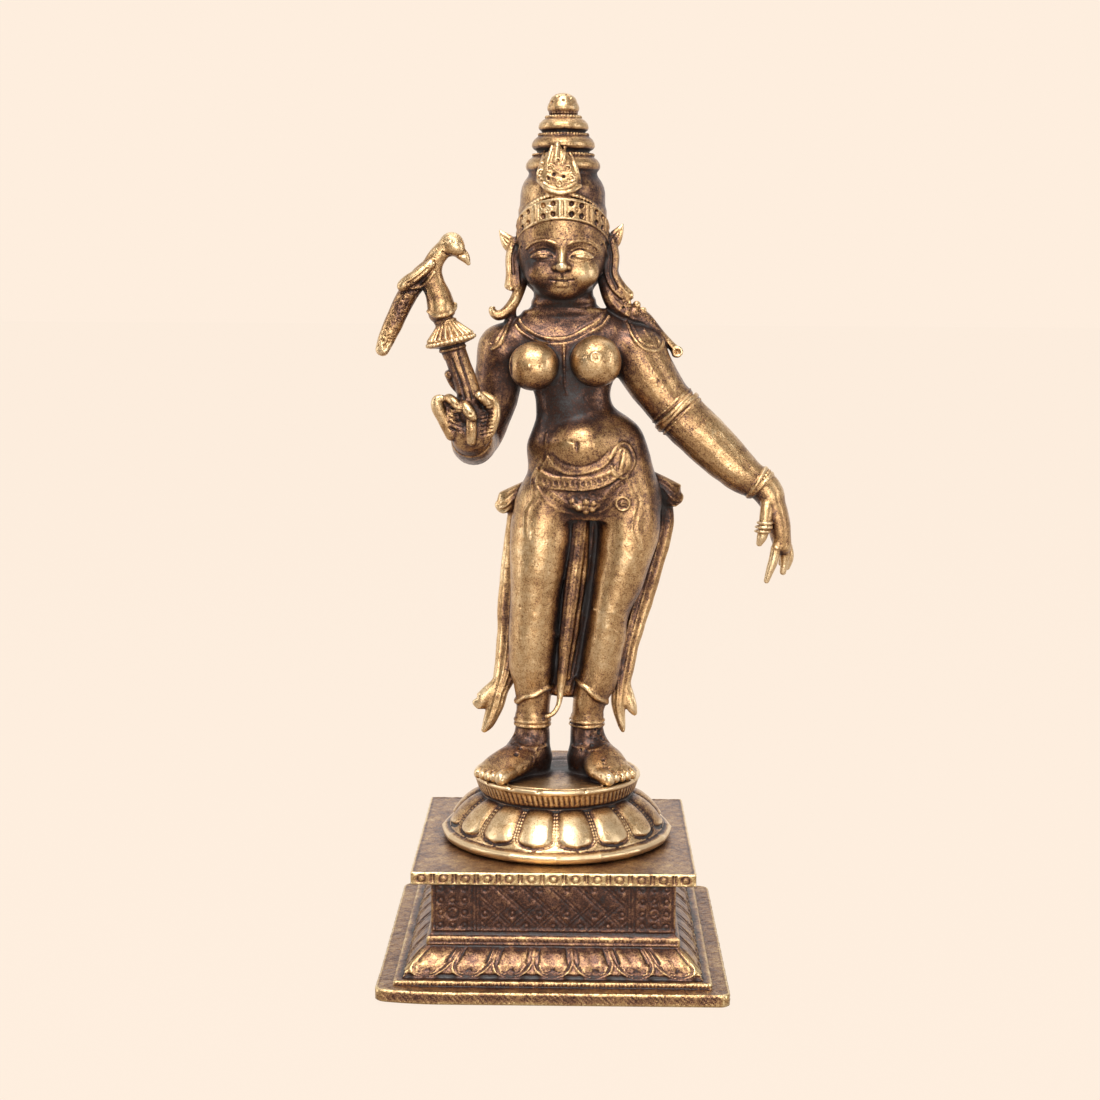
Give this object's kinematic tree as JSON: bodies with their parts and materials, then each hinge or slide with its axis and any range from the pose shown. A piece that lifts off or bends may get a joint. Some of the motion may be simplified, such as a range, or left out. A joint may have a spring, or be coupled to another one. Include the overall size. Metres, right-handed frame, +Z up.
{
  "type": "parvati figure",
  "caption": "Standing brass goddess holding a parrot on a lotus stem, on a round lotus base over a square stepped plinth.",
  "frame": {"origin": "centre of the plinth's underside", "axes": "+Z up, the figure and the plinth face -Y, +X towards the figure's own left, on the side of her hanging arm"},
  "size_m": [0.1454, 0.1194, 0.3048],
  "materials": {
    "figure_brass": "rubbed antique patina, bright on the high places and dark brown in the hollows",
    "plinth_brass": "reddish brown antique patina with rubbed edges"
  },
  "bodies": {
    "root": {"figure_on_lotus_base": "figure_brass", "square_plinth": "plinth_brass"}
  },
  "joints": []
}
